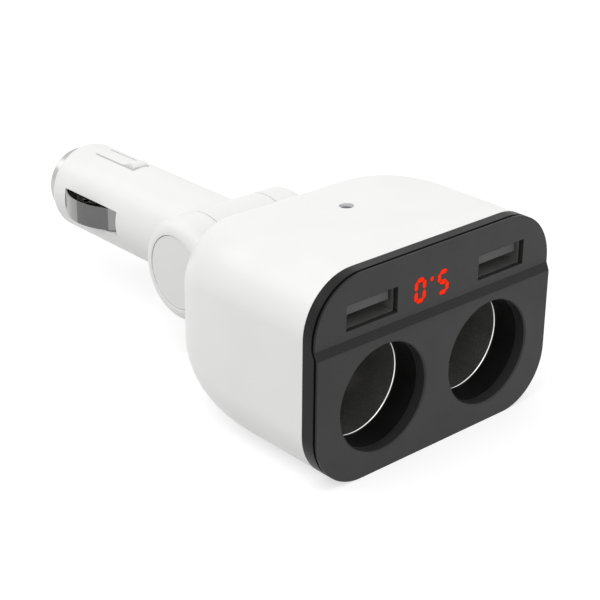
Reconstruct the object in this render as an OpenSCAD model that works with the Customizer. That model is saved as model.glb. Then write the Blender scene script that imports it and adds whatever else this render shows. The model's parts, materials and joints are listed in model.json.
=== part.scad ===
// Folding car charger plug: two lighter sockets, two charging ports and a display.
// Millimetres. The origin is on the plug's axis, at the shoulder that meets the car's socket.
// +Y runs along the plug to its tip, +Z is up and the front panel faces -Y.

/* [Front panel] */
// Room between the sockets' liners and the sides of the panel
side_room = 4.7; // [4.3:0.1:5.5]
// Room between the sockets' liners and the floor of the tub
base_room = 0.9; // [0.6:0.1:1.5]
// Distance from the panel's top to the middles of the ports
port_top = 8.2; // [7.8:0.1:9.5]
// Corner radius of the front panel
corner_r = 11.6; // [9:0.1:12.5]
// Thickness of the face plate round the sockets
plate_t = 3.2; // [3:0.1:3.8]
// Thickness of the plate's front flange
flange_t = 0.45; // [0.3:0.05:0.6]
// How far the upper field lies behind the lower one
step_d = 0.75; // [0.4:0.05:1]
// Height of the flat between the mouths and the step
step_margin = 1.9; // [1.2:0.1:2.2]
// Height of the slope between the two fields
step_slope = 1.7; // [1:0.1:2]
// Width of the shadow groove behind the flange
groove_w = 0.6; // [0.4:0.05:0.8]
// Depth of the shadow groove
groove_d = 0.6; // [0.3:0.05:0.9]
// Wall of the dark ring
ring_wall = 1.8; // [1.5:0.1:2]
// Distance from the plate's back to the seam between ring and tub
seam_behind = 0.9; // [0.6:0.1:1.8]
// Length of the ring's lip inside the tub
lip_l = 3.2; // [2:0.1:4]
// Wall of the ring's lip
lip_t = 1.3; // [1:0.1:1.6]

/* [Tub] */
// Wall of the tub
tub_wall = 2; // [1.6:0.1:2.1]
// Room behind the sockets for the wires
back_room = 14.5; // [14:0.5:20]
// Length of the rounding at the back
round_l = 24; // [18:0.5:26]
// How far the rounding draws in each side
round_side = 9; // [6:0.5:11]
// How far the rounding draws in top and bottom
round_top = 7.5; // [5:0.5:8.5]
// Distance from the front to the indicator hole
indicator_y = 26.5; // [22:0.5:30]
// Radius of the indicator hole
indicator_r = 1.55; // [1:0.05:2]
// How far the indicator lens lies below the surface
indicator_depth = 0.8; // [0.3:0.1:1.5]
// Radius of the indicator lamp
lamp_r = 1.4; // [1:0.1:1.8]
// Height of the indicator lamp
lamp_h = 2; // [1.5:0.1:2.5]
// Height of the slot for the wires in the back wall
wire_slot_h = 9; // [6:0.5:12]

/* [Sockets] */
// Gap between the two sockets' liners
socket_gap = 4; // [3.5:0.1:5]
// How much larger the mouths' radius is than the sleeves'
mouth_step = 0.4; // [0.3:0.05:0.6]
// Chamfer round the mouths
mouth_chamfer = 0.3; // [0.1:0.05:0.5]
// How deep the liners sit in the plate's back
liner_seat = 0.9; // [0.6:0.1:1.3]
// Inner radius of the metal sleeve
sleeve_r = 10.7; // [10.5:0.05:10.8]
// Wall of the metal sleeve
sleeve_t = 0.4; // [0.3:0.05:0.5]
// Distance from the front to the sleeve's front edge
sleeve_y = 8; // [6:0.5:10]
// Length of the metal sleeve
sleeve_l = 21.4; // [18:0.1:24]
// Wall of the liner round the sleeve
liner_t = 1.3; // [1:0.05:1.4]
// How far the liner's lip covers the sleeve's edge
liner_lip = 0.1; // [0.05:0.05:0.2]
// Thickness of the liner's floor
liner_floor = 2; // [1.5:0.1:2.5]
// How far the liner draws in round its floor
liner_taper = 2; // [1:0.1:2.5]
// Radius of the centre contact
contact_r = 3.2; // [2.5:0.1:4]
// How far the centre contact stands up from the floor
contact_h = 1.4; // [1:0.1:2]
// How far the centre contact stays behind the sleeve's end
contact_sunk = 0.2; // [0.1:0.1:1]
// Width of the ledge that the sleeve stands on
sleeve_ledge = 0.3; // [0.2:0.05:0.8]
// Chamfer of the centre contact
contact_edge = 0.6; // [0.3:0.1:1]
// Radius of the rivet behind the centre contact
rivet_r = 1.2; // [0.8:0.1:1.6]
// Radius of the rivet's head behind the liner
rivet_head_r = 2.4; // [2:0.1:3]
// Thickness of the rivet's head
rivet_head_t = 0.8; // [0.5:0.1:1.2]

/* [Ports] */
// How far each port lies outside its socket's axis
port_shift = 3.05; // [2:0.05:4]
// Width inside the metal shell
shell_w = 12.5; // [12.2:0.05:12.6]
// Height inside the metal shell
shell_h = 5.1; // [4.9:0.05:5.2]
// Sheet of the metal shell
shell_t = 0.3; // [0.2:0.05:0.35]
// Length of the metal shell
shell_l = 12.5; // [10:0.5:14]
// How much of the shell's edge shows at each side of the opening
shell_side = 0.25; // [0.1:0.05:0.25]
// How much of the shell's edge shows above and below
shell_above = 0.1; // [0.05:0.05:0.2]
// Thickness of the plate in front of the shells
port_wall = 0.9; // [0.6:0.05:1.2]
// Gap at each side of the tongue
tongue_gap = 0.7; // [0.5:0.05:0.9]
// Thickness of the tongue
tongue_t = 1.8; // [1.5:0.1:1.9]
// Height of the tongue's middle over the port's middle
tongue_up = 0.7; // [0.5:0.05:0.9]
// How far the tongue's end lies behind the shell's edge
tongue_in = 0.65; // [0.5:0.05:2]
// Length of the block at the tongue's root
block_l = 3; // [2:0.1:4]
// Distance between two contact strips
strip_pitch = 2.3; // [2:0.05:2.5]
// Width of a contact strip
strip_w = 1; // [0.8:0.05:1.2]
// Thickness of a contact strip
strip_t = 0.25; // [0.15:0.05:0.3]
// Distance from the tongue's end to the contact strips
strip_in = 1; // [0.5:0.1:2]

/* [Display] */
// Height of a digit
digit_h = 5.2; // [4.6:0.1:5.4]
// Width of a digit
digit_w = 3.1; // [2.6:0.1:3.4]
// Width of a segment's stroke
stroke = 0.95; // [0.6:0.05:1]
// Gap between the two digits
digit_gap = 3.1; // [2.4:0.1:3.6]
// Distance from the digits' top to the dot's middle
dot_down = 1.1; // [0.6:0.1:2]
// Distance of the display's middle from the panel's middle
display_x = -1.85; // [-3:0.05:0]
// Gap between two segments of a digit
segment_gap = 0.12; // [0.1:0.01:0.2]
// Thickness of the sheet that carries the light guides
guide_t = 0.8; // [0.5:0.1:0.8]
// Rim of that sheet round the digits
guide_rim = 0.7; // [0.4:0.1:1]
// Depth of the display block
module_d = 4; // [3:0.1:6]
// Rim of the display block round the digits
module_rim = 1; // [0.6:0.1:1.5]

/* [Board] */
// Thickness of the circuit board
board_t = 1.6; // [1:0.1:1.6]
// Gap between the sockets' liners and the board over them
board_room = 2.1; // [1.5:0.1:2.6]
// Gap between the ring's lip and the board
board_gap = 0.5; // [0.3:0.1:1]
// Gap at each side of the board
board_side = 0.6; // [0.3:0.1:1]
// How far the board reaches past the liners
board_over = 0.8; // [0:0.1:1]
// Radius of the board's rounded back corners
board_corner = 6; // [5:0.5:8]
// Radius of the board's posts
post_r = 2.3; // [2:0.1:2.4]
// Height of the board's posts
post_h = 6.5; // [5:0.1:6.8]
// Distance from the board's side to its screws
post_in = 1.6; // [1.4:0.1:2]
// Distance from the board's front to the first screws
post_first = 3; // [2.6:0.1:5]
// Distance between the front and back screws
post_span = 14; // [10:0.5:16]
// Radius of the board screws' shanks
board_screw_r = 0.9; // [0.7:0.05:1]
// Radius of the board screws' heads
board_head_r = 1.35; // [1.2:0.05:1.5]
// Height of the board screws' heads
board_head_t = 1; // [0.7:0.1:1.3]
// Length of the board screws under the head
board_screw_l = 7.1; // [5:0.1:8]
// Gap between the ports and the chips
chip_gap = 3.15; // [2:0.05:4]
// Length of a chip
chip_w = 5; // [4:0.1:6]
// Width of a chip
chip_d = 4; // [3:0.1:4.5]
// Height of a chip
chip_t = 1.5; // [1:0.1:2]
// Distance from the board's middle to the left chip
chip_left = 5; // [4.5:0.1:7]
// Distance from the board's side to the right chip
chip_right = 10.5; // [9:0.1:11]
// Distance from the chips' front to the middles of coil and capacitors
part_row = 7.5; // [7:0.1:9]
// Radius of the coil
coil_r = 4.5; // [3.5:0.1:5]
// Radius of the coil's opening
coil_bore = 1.95; // [1.5:0.05:2.4]
// Height of the coil
coil_h = 5.5; // [4:0.1:6.5]
// Radius of the groove round the coil
coil_groove = 1; // [0.6:0.1:1.4]
// Distance from the board's side to the coil's axis
coil_side = 19; // [18:0.5:21]
// Radius of a capacitor
can_r = 3.2; // [2.5:0.1:3.5]
// Height of a capacitor
can_h = 6.5; // [5:0.1:7]
// Distance from the board's side to the first capacitor's axis
can_side = 9; // [8:0.1:10]
// Distance between the two capacitors
can_pitch = 7.5; // [7.2:0.1:9]

/* [Hinge] */
// Radius of the hinge barrel
barrel_r = 11.4; // [11:0.1:12]
// Half width of the middle knuckle
knuckle_half = 8.35; // [8:0.05:8.8]
// Gap at each side of the middle knuckle
knuckle_gap = 0.25; // [0.2:0.05:0.4]
// Rounding of the barrel's ends
barrel_round = 3; // [2:0.1:3.2]
// Gap between the barrel and the housing's back
back_gap = 2.1; // [1.5:0.1:4]
// Gap between the barrel and the plug's shoulder
shoulder_gap = 0.6; // [0.4:0.1:2]
// Wall of the ears between the knuckle and the screw's seat
ear_floor = 3.6; // [3:0.1:5]
// Height of the webs that join the ears to the housing
web_h = 12; // [10:0.5:14]
// Radius of the flare where the webs meet the housing
web_flare = 3; // [2:0.1:3.5]
// Flat rim of the ears round the end caps
cap_rim = 0.3; // [0.2:0.1:1]
// Thickness of the end caps
cap_t = 1.2; // [0.8:0.1:1.6]
// Gap between the end caps and the screw's head
cap_gap = 0.25; // [0.1:0.05:1]
// Gap round the end caps
cap_clear = 0.12; // [0.05:0.01:0.2]
// How far the end caps lie below the barrel's ends
cap_sunk = 0.15; // [0.05:0.05:0.4]
// Depth of the hollow inside the end caps
cap_hollow = 0.3; // [0.2:0.05:0.5]
// Width of the end caps' seat round that hollow
cap_seat = 2; // [1.5:0.1:2.5]
// Radius of the hinge screw
axle_r = 2; // [1.5:0.1:2.4]
// Radius of the hinge screw's head
head_r = 3.6; // [3:0.1:4]
// Height of the hinge screw's head
head_t = 2.2; // [1.6:0.1:2.4]
// Width of the slot in the hinge screw's head
driver_w = 1; // [0.6:0.1:1.4]
// Length of the slot in the hinge screw's head
driver_l = 4.4; // [3:0.1:5]
// Depth of the slot in the hinge screw's head
driver_d = 1.2; // [0.8:0.1:1.4]
// Thickness of the spring washer
washer_t = 0.8; // [0.6:0.1:1]
// Width of the spring washer's cut
washer_cut = 0.6; // [0.4:0.1:1]
// Width of the nut across its flats
nut_flats = 7; // [6:0.1:7.4]
// Thickness of the nut
nut_t = 3; // [2.4:0.1:3.2]
// Outer radius of the friction washers
friction_r = 6; // [5:0.1:7]
// Thickness of the friction washers
friction_t = 0.6; // [0.4:0.05:0.8]

/* [Plug] */
// Outer radius of the plug
plug_r = 10.36; // [10.3:0.01:10.5]
// Wall of the plug
plug_wall = 1.9; // [1.6:0.1:2]
// Length of the plug from shoulder to end
plug_l = 44; // [43:0.5:50]
// Rounding of the plug's end
plug_round = 1.5; // [0.8:0.1:1.6]
// Thickness of the wall between knuckle and plug bore
bulkhead = 5; // [4:0.5:6]
// How much narrower the neck is than the knuckle, at each side
neck_step = 0.2; // [0.1:0.05:0.5]
// Radius of the holes for the wires through the knuckle
wire_hole_r = 1.6; // [1:0.1:2]
// Distance of those holes from the hinge's axis
wire_hole_z = 6.2; // [5.5:0.1:6.5]
// Length of the side slots
slot_l = 20.2; // [19:0.1:20.6]
// Height of the side slots
slot_h = 5.9; // [5.4:0.1:6.2]
// Gap between the side contacts' feet and the nose's thread
slot_behind = 0.55; // [0.4:0.05:1]
// Sheet of the side contacts
contact_t = 0.4; // [0.3:0.05:0.5]
// How far the side contacts stand out of the plug
contact_out = 2.2; // [1.6:0.1:2.6]
// Gap at each side of the side contacts in their slots
contact_gap = 0.25; // [0.15:0.05:0.4]
// Radius of the side contacts' bow
bow_r = 14.5; // [13:0.5:15]
// How far the bow's crown lies from the slot's middle towards the tip
bow_shift = 1.9; // [1.5:0.1:2.4]
// Gap between the bow's ends and the ends of its slot
bow_gap = 0.35; // [0.2:0.05:0.6]
// Length of the side contacts' feet
foot_l = 1.4; // [1:0.1:2]
// Distance from the plug's end to the top tongue's free end
latch_tip = 22.4; // [21:0.2:24]
// Length of the top tongue
latch_l = 15; // [12:0.2:16]
// Width of the top tongue
latch_w = 3.8; // [3:0.1:4.4]
// Width of the slot round the top tongue
latch_slot = 0.5; // [0.4:0.05:0.7]
// How far the tongue's free end stands out of the plug
latch_out = 1; // [0.6:0.1:1.2]
// Length of the ramp from the tongue's root up to its free end
latch_ramp = 5; // [4:0.5:12]
// Rounding of the tongue's free end
latch_round = 1.1; // [0.8:0.1:1.4]

/* [Tip] */
// Outer radius of the metal nose
nose_r = 8.2; // [7.4:0.1:8.4]
// How far the metal nose stands out of the plug
nose_out = 5; // [4:0.1:6]
// Wall of the nose round the centre pin
nose_wall = 2.2; // [1.6:0.1:2.6]
// Length of the chamfer at the nose's end
nose_edge_l = 1.5; // [1:0.1:2]
// Depth of the chamfer at the nose's end
nose_edge_d = 1.8; // [1:0.1:2.4]
// Length of the nose's thread inside the plug
thread_l = 4; // [3:0.1:4.2]
// Radius of the centre pin
pin_r = 3.4; // [3:0.1:3.6]
// How much larger the dome's radius is than the pin's
pin_dome = 0.35; // [0.2:0.05:1]
// Flange that holds the pin behind the nose
pin_flange = 1; // [0.6:0.1:1.4]
// Thickness of the pin's flange
pin_flange_t = 2.2; // [1.6:0.1:2.6]
// Travel of the centre pin
pin_travel = 3; // [2:0.1:3.2]
// How far the pressed pin still stands out of the nose
pin_rest = 1.5; // [1:0.1:2.5]
// Radius of the fuse's glass
fuse_r = 3; // [2.5:0.05:3]
// Wall of the fuse's glass
glass_wall = 0.6; // [0.4:0.05:0.8]
// Length of the fuse
fuse_l = 25.4; // [24:0.1:26]
// Length of the fuse's end caps
fuse_cap_l = 5.5; // [4:0.1:6.5]
// Sheet of the fuse's end caps
fuse_cap_t = 0.25; // [0.2:0.05:0.35]
// Radius of the coil spring
spring_r = 2.5; // [2:0.1:2.8]
// Wire radius of the coil spring
wire_r = 0.4; // [0.3:0.05:0.5]
// Turns of the coil spring
spring_turns = 4; // [3:0.5:4.5]
// Thickness of the spring seat's floor
seat_t = 1; // [0.8:0.1:1.5]
// Height of the spring seat's rim
seat_rim = 1.5; // [1:0.1:2]
// Wall of the spring seat's rim
seat_wall = 0.6; // [0.4:0.05:0.8]
// Gap between the spring and the seat's rim
seat_gap = 0.6; // [0.3:0.1:1]

/* [Hidden] */
$fn = 96;

white = "#f4f4f2";
panel_grey = "#484848";
ring_grey = "#333333";
liner_black = "#141414";
metal = "#b9babb";
brass = "#c9a45c";

// General clearances: loose, sliding and pressed, and how far a cut runs past a face
fit = 0.15;
slide_fit = 0.05;
press_fit = 0.02;
cut = 1;

// The sockets, from the sleeve outwards
sleeve_out = sleeve_r + sleeve_t;
liner_r = sleeve_out + slide_fit + liner_t;
liner_bore = sleeve_out - liner_lip;
mouth_r = sleeve_r + mouth_step;
socket_pitch = 2 * liner_r + socket_gap;

// Heights above the base, one piece on the next
socket_z = tub_wall + base_room + liner_r;
board_z = socket_z + liner_r + board_room;
port_z = board_z + board_t + slide_fit + shell_t + shell_h / 2;
step_top = socket_z + mouth_r + step_margin + step_slope;

// The panel and the housing
panel_w = socket_pitch + 2 * (liner_r + side_room);
panel_h = port_z + port_top;
body_d = sleeve_y + sleeve_l + contact_h + contact_sunk + liner_floor + back_room;
inner_half = panel_w / 2 - tub_wall;

// Places along the plug's axis, from the origin at the shoulder
hinge_y = -(barrel_r + shoulder_gap);
back_y = hinge_y - barrel_r - back_gap;
front_y = back_y - body_d;
plate_back = front_y + plate_t;
seam = plate_back + seam_behind;
lip_end = seam + lip_l;
sleeve_front = front_y + sleeve_y;
sleeve_end = sleeve_front + sleeve_l;
floor_y = sleeve_end + contact_sunk + contact_h;
liner_end = floor_y + liner_floor;
liner_front = plate_back - liner_seat;
shell_front = front_y + step_d + port_wall;
shell_back = shell_front + shell_l;
lamp_y = front_y + indicator_y;

// Heights, from the origin on the plug's axis
base_z = -panel_h / 2;
top_z = panel_h / 2;
socket_c = base_z + socket_z;
port_c = base_z + port_z;
step_z = base_z + step_top;
board_bottom = base_z + board_z;
board_top = board_bottom + board_t;

// The face plate's layers behind its front
groove_y = flange_t;
ring_y = flange_t + groove_w;
spigot_in = ring_wall + fit;

// The ports
port_x = socket_pitch / 2 + port_shift;
port_w = shell_w + 2 * shell_side;
port_h = shell_h + 2 * shell_above;
tongue_w = shell_w - 2 * tongue_gap;

// The display
digit_pitch = digit_w + digit_gap;
display_w = digit_pitch + digit_w;

// The board and what stands on it
board_half = inner_half - board_side;
board_front = lip_end + board_gap;
board_d = liner_end + board_over - board_front;
post_x = board_half - post_in;
post_places = [board_front + post_first, board_front + post_first + post_span];
chip_y = shell_back + chip_gap;
part_y = chip_y + part_row;

// The hinge, from the knuckle outwards
ear_in = knuckle_half + knuckle_gap;
head_seat = ear_in + ear_floor;
cap_in = head_seat + max(washer_t + head_t, nut_t) + cap_gap;
barrel_half = cap_in + cap_t + cap_sunk;
cap_r = barrel_r - barrel_round - cap_rim;
bore_r = axle_r + slide_fit;
nut_r = nut_flats / 2 / cos(30);

// The plug
bore = plug_r - plug_wall;
neck_half = knuckle_half - neck_step;
slot_y = plug_l - thread_l - slot_behind - foot_l + bow_gap - slot_l;
contact_w = slot_h - 2 * contact_gap;
foot_x = sqrt(bore * bore - contact_w * contact_w / 4) - fit;
bow_x = plug_r + contact_out;
bow_centre = [bow_x - bow_r, slot_y + slot_l / 2 + bow_shift];
bow_tip = slot_y + slot_l - bow_gap;
bow_root = bow_centre[1] - sqrt(pow(bow_r, 2) - pow(foot_x - bow_centre[0], 2));
latch_y = plug_l - latch_tip;
latch_top = plug_r + latch_out;
latch_under = bore + plug_wall / 3;
ramp_low = plug_r - plug_wall / 4;

// The tip
nose_front = plug_l + nose_out;
pin_out = pin_travel + pin_rest;
pin_tip = nose_front + pin_out;
dome_r = pin_r + pin_dome;
pin_head_r = pin_r + pin_flange;
pin_stop = nose_front - nose_wall - slide_fit;
fuse_front = pin_stop - pin_flange_t;
fuse_back = fuse_front - fuse_l;
seat_floor = bulkhead + seat_t;
spring_l = fuse_back - seat_floor;

// Flat outline of the housing, moved in by an amount all round
module outline(inset = 0) {
    w = panel_w - 2 * inset;
    h = panel_h - 2 * inset;
    r = corner_r - inset;
    square([w - 2 * r, h], center = true);
    square([w, h - 2 * r], center = true);
    for (sx = [-1, 1], sz = [-1, 1])
        translate([sx * (w / 2 - r), sz * (h / 2 - r)]) circle(r = r);
}

// Solid with a flat X-Z outline between two places along Y
module along_y(y0, y1) {
    translate([0, y1, 0]) rotate([90, 0, 0]) linear_extrude(y1 - y0) children();
}

// Cylinder along Y
module rod_y(r, y0, y1, r2 = undef) {
    translate([0, y0, 0]) rotate([-90, 0, 0])
        cylinder(r1 = r, r2 = is_undef(r2) ? r : r2, h = y1 - y0);
}

// Cylinder along X
module rod_x(r, x0, x1) {
    translate([x0, 0, 0]) rotate([0, 90, 0]) cylinder(r = r, h = x1 - x0);
}

// Profile in R and Y, turned about the Y axis
module turned_y() {
    rotate([-90, 0, 0]) rotate_extrude() children();
}

// Everything behind the stepped front, moved back by an amount
module behind_step(back) {
    far = body_d / 2;
    y0 = front_y + back;
    low = step_z - step_slope;
    rotate([90, 0, 90]) translate([0, 0, -panel_w]) linear_extrude(2 * panel_w)
        polygon([[y0, -panel_h], [y0, low], [y0 + step_d, step_z], [y0 + step_d, panel_h],
            [y0 + far, panel_h], [y0 + far, -panel_h]]);
}

// A copy at one socket
module at_socket(side) {
    translate([side * socket_pitch / 2, 0, socket_c]) children();
}

// A copy at one port
module at_port(side) {
    translate([side * port_x, 0, port_c]) children();
}

// Rounded cross-section of the tub: half sizes, corner radius and place along Y
corner_steps = 12;
function section(hw, hh, r, y) = [for (q = [0:3]) for (k = [0:corner_steps])
    let (a = 90 * q + 90 * k / corner_steps,
        sx = q == 0 || q == 3 ? 1 : -1,
        sz = q < 2 ? 1 : -1)
    [sx * (hw - r) + r * cos(a), y, sz * (hh - r) + r * sin(a)]];

// Sections of the tub's skin: straight from the seam, then drawn in on an elliptic arc
round_steps = 12;
function skin(inset) = concat(
    [section(panel_w / 2 - inset, panel_h / 2 - inset, corner_r - inset, seam)],
    [for (k = [0:round_steps])
        let (a = 90 * k / round_steps, drawn = 1 - cos(a))
        section(panel_w / 2 - inset - round_side * drawn, panel_h / 2 - inset - round_top * drawn,
            corner_r - inset, back_y - round_l + (round_l - inset) * sin(a))]);

// Open tub as one closed skin: outside to the back, inside again to the front
module tub() {
    outer = skin(0);
    inner = skin(tub_wall);
    n = len(outer[0]);
    m = len(outer);
    rings = concat(outer, [for (k = [m - 1:-1:0]) inner[k]]);
    last = (2 * m - 1) * n;
    sides = [for (i = [0:2 * m - 2], j = [0:n - 1]) if (i != m - 1)
        let (a = i * n + j, b = i * n + (j + 1) % n)
        each [[a, b, b + n], [a, b + n, a + n]]];
    rim = [for (j = [0:n - 1]) let (k = (j + 1) % n)
        each [[j, last + j, last + k], [j, last + k, k]]];
    back = [for (j = [0:n - 1]) (m - 1) * n + j];
    floor_face = [for (j = [n - 1:-1:0]) m * n + j];
    polyhedron(points = [for (ring = rings) each ring],
        faces = concat(sides, rim, [back, floor_face]), convexity = 6);
}

// One outer ear of the hinge: round barrel end with a web to the housing's back
module ear() {
    translate([0, hinge_y, 0]) rotate([0, 90, 0]) rotate_extrude() {
        square([barrel_r - barrel_round, barrel_half]);
        translate([0, ear_in]) square([barrel_r, barrel_half - barrel_round - ear_in]);
        translate([barrel_r - barrel_round, barrel_half - barrel_round]) circle(r = barrel_round);
    }
    translate([ear_in, 0, 0]) rotate([90, 0, 90]) linear_extrude(barrel_half - barrel_round - ear_in) {
        translate([back_y - tub_wall / 2, -web_h / 2]) square([hinge_y - back_y + tub_wall / 2, web_h]);
        for (side = [-1, 1])
            scale([1, side]) translate([back_y, web_h / 2]) difference() {
                translate([-tub_wall / 2, -cut]) square([web_flare + tub_wall / 2, web_flare + cut]);
                translate([web_flare, web_flare]) circle(r = web_flare);
            }
    }
}

module rear_housing() {
    color(white) difference() {
        union() {
            tub();
            for (side = [-1, 1]) {
                scale([side, 1, 1]) difference() {
                    ear();
                    translate([0, hinge_y, 0]) rod_x(barrel_r + cut, -cut, ear_in);
                }
                for (place = post_places)
                    scale([side, 1, 1]) translate([post_x, place, board_bottom - post_h]) {
                        cylinder(r = post_r, h = post_h);
                        translate([0, -post_r, 0])
                            cube([inner_half + tub_wall / 2 - post_x, 2 * post_r, post_h]);
                    }
            }
        }
        translate([0, hinge_y, 0]) {
            rod_x(bore_r, -barrel_half, barrel_half);
            rod_x(head_r + fit, -barrel_half, -head_seat);
            rod_x(nut_r + fit, head_seat, barrel_half);
            for (side = [-1, 1])
                scale([side, 1, 1]) rod_x(cap_r + cap_clear, cap_in, barrel_half + cut);
        }
        translate([0, lamp_y, top_z - tub_wall - cut])
            cylinder(r = indicator_r, h = tub_wall + 2 * cut);
        translate([-neck_half, back_y - tub_wall - cut, -wire_slot_h / 2])
            cube([2 * neck_half, tub_wall + 2 * cut, wire_slot_h]);
        for (side = [-1, 1], place = post_places)
            translate([side * post_x, place, board_bottom - post_h - cut])
                cylinder(r = board_screw_r, h = post_h + 2 * cut);
    }
}

module bezel_ring() {
    color(ring_grey) difference() {
        union() {
            intersection() {
                along_y(front_y, seam) outline();
                behind_step(ring_y);
            }
            along_y(seam, lip_end) outline(tub_wall + fit);
        }
        along_y(front_y - cut, plate_back) outline(ring_wall);
        along_y(front_y, lip_end + cut) outline(tub_wall + fit + lip_t);
        for (side = [-1, 1])
            at_socket(side) rod_y(liner_r + fit, front_y, lip_end + cut);
    }
}

// Seven strokes of a digit: [across, up, is upright] in strokes from the digit's middle
digit_strokes = [[0, 1, 0], [1, 0.5, 1], [1, -0.5, 1], [0, -1, 0], [-1, -0.5, 1], [-1, 0.5, 1], [0, 0, 0]];
zero_strokes = [0, 1, 2, 3, 4, 5];
five_strokes = [0, 5, 6, 2, 3];

module stroke_shape(place, grow) {
    half_w = (digit_w - stroke) / 2;
    half_h = (digit_h - stroke) / 2;
    upright = place[2] == 1;
    long = (upright ? half_h : digit_w - stroke) - segment_gap;
    s = stroke + 2 * grow;
    tip = long / 2 + grow;
    translate([place[0] * half_w, place[1] * half_h]) rotate(upright ? 90 : 0)
        polygon([[-tip, 0], [-tip + s / 2, s / 2], [tip - s / 2, s / 2], [tip, 0],
            [tip - s / 2, -s / 2], [-tip + s / 2, -s / 2]]);
}

// All lit strokes and the dot, each grown by an amount
module reading(grow = 0) {
    translate([display_x - digit_pitch / 2, port_c])
        for (k = zero_strokes) stroke_shape(digit_strokes[k], grow);
    translate([display_x + digit_pitch / 2, port_c])
        for (k = five_strokes) stroke_shape(digit_strokes[k], grow);
    translate([display_x, port_c + digit_h / 2 - dot_down]) circle(r = stroke / 2 + grow);
}

module face_plate() {
    color(panel_grey) difference() {
        union() {
            difference() {
                intersection() {
                    along_y(front_y, plate_back) outline();
                    behind_step(0);
                }
                behind_step(groove_y);
            }
            difference() {
                intersection() {
                    along_y(front_y, plate_back) outline(groove_d);
                    behind_step(groove_y);
                }
                behind_step(ring_y);
            }
            intersection() {
                along_y(front_y, plate_back) outline(spigot_in);
                behind_step(ring_y);
            }
        }
        for (side = [-1, 1]) {
            at_socket(side) {
                rod_y(mouth_r, front_y - cut, plate_back + cut);
                rod_y(mouth_r + mouth_chamfer, front_y, front_y + mouth_chamfer, mouth_r);
                rod_y(liner_r + fit, liner_front - slide_fit, plate_back + cut);
            }
            at_port(side) {
                along_y(front_y - cut, plate_back + cut) square([port_w, port_h], center = true);
                along_y(shell_front - slide_fit, plate_back + cut)
                    shell_outline(fit);
            }
        }
        along_y(front_y - cut, plate_back + cut) reading(slide_fit);
    }
}

module socket_liner(side) {
    color(liner_black) at_socket(side) difference() {
        union() {
            rod_y(liner_r, liner_front, floor_y);
            rod_y(liner_r, floor_y, liner_end, liner_r - liner_taper);
        }
        rod_y(liner_bore, front_y, sleeve_end);
        rod_y(sleeve_out + slide_fit, sleeve_front - slide_fit, sleeve_end);
        rod_y(sleeve_r - sleeve_ledge, front_y, floor_y);
        rod_y(rivet_r + slide_fit, floor_y - cut, liner_end + cut);
    }
}

module socket_sleeve(side) {
    color(metal) at_socket(side) difference() {
        rod_y(sleeve_out, sleeve_front, sleeve_end);
        rod_y(sleeve_r, sleeve_front - cut, sleeve_end + cut);
    }
}

module socket_contact(side) {
    color(brass) at_socket(side) {
        rod_y(contact_r - contact_edge, floor_y - contact_h, floor_y - contact_h + contact_edge, contact_r);
        rod_y(contact_r, floor_y - contact_h + contact_edge, floor_y);
        rod_y(rivet_r, floor_y - slide_fit, liner_end + rivet_head_t);
        rod_y(rivet_head_r, liner_end, liner_end + rivet_head_t);
    }
}

// Outside of a port's shell, grown by an amount
module shell_outline(grow = 0) {
    square([shell_w, shell_h] + 2 * (shell_t + grow) * [1, 1], center = true);
}

module usb_shell(side) {
    color(metal) at_port(side) difference() {
        along_y(shell_front, shell_back) shell_outline();
        along_y(shell_front - cut, shell_back + cut) square([shell_w, shell_h], center = true);
    }
}

module usb_tongue(side) {
    color(liner_black) at_port(side) {
        along_y(shell_front + tongue_in, shell_back - block_l / 2)
            translate([0, tongue_up]) square([tongue_w, tongue_t], center = true);
        along_y(shell_back - block_l, shell_back)
            square([shell_w - 2 * slide_fit, shell_h - 2 * slide_fit], center = true);
    }
}

// Four contact strips under each tongue
module usb_pins(side) {
    color(brass) at_port(side) for (k = [-1.5:1:1.5])
        along_y(shell_front + tongue_in + strip_in, shell_back - block_l)
            translate([k * strip_pitch, tongue_up - tongue_t / 2 - strip_t / 2])
                square([strip_w, strip_t], center = true);
}

module display_segments() {
    color("#ff3208") {
        intersection() {
            along_y(front_y, plate_back + guide_t / 2) reading();
            behind_step(slide_fit);
        }
        along_y(plate_back, plate_back + guide_t) translate([display_x, port_c])
            square([display_w + 2 * guide_rim, digit_h + 2 * guide_rim], center = true);
    }
}

module display_module() {
    module_w = display_w + 2 * module_rim;
    color("#d9d9d6") translate([display_x - module_w / 2, plate_back + guide_t, board_top])
        cube([module_w, module_d, port_c + digit_h / 2 + module_rim - board_top]);
}

module main_board() {
    color("#2f6b3a") difference() {
        translate([0, board_front, board_bottom]) linear_extrude(board_t) {
            translate([-board_half, 0]) square([2 * board_half, board_d - board_corner]);
            translate([board_corner - board_half, 0]) square([2 * (board_half - board_corner), board_d]);
            for (side = [-1, 1])
                translate([side * (board_half - board_corner), board_d - board_corner])
                    circle(r = board_corner);
        }
        for (side = [-1, 1], place = post_places)
            translate([side * post_x, place, board_bottom - cut])
                cylinder(r = board_screw_r + fit, h = board_t + 2 * cut);
    }
}

module power_coil() {
    color("#5a4632") translate([board_half - coil_side, part_y, board_top]) rotate_extrude() difference() {
        translate([coil_bore, 0]) square([coil_r - coil_bore, coil_h]);
        translate([coil_r, coil_h / 2]) circle(r = coil_groove);
    }
}

module capacitors() {
    color("#3b4a6b") for (k = [0, 1])
        translate([can_side + k * can_pitch - board_half, part_y, board_top])
            cylinder(r = can_r, h = can_h);
}

module converter_chips() {
    color("#1c1c1c") for (x = [-chip_left, board_half - chip_right])
        translate([x - chip_w / 2, chip_y, board_top]) cube([chip_w, chip_d, chip_t]);
}

module indicator_led() {
    color("#e8e8e0") translate([0, lamp_y, board_top]) {
        cylinder(r = lamp_r + lamp_h / 4, h = lamp_h / 2);
        cylinder(r = lamp_r, h = lamp_h);
    }
}

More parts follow.
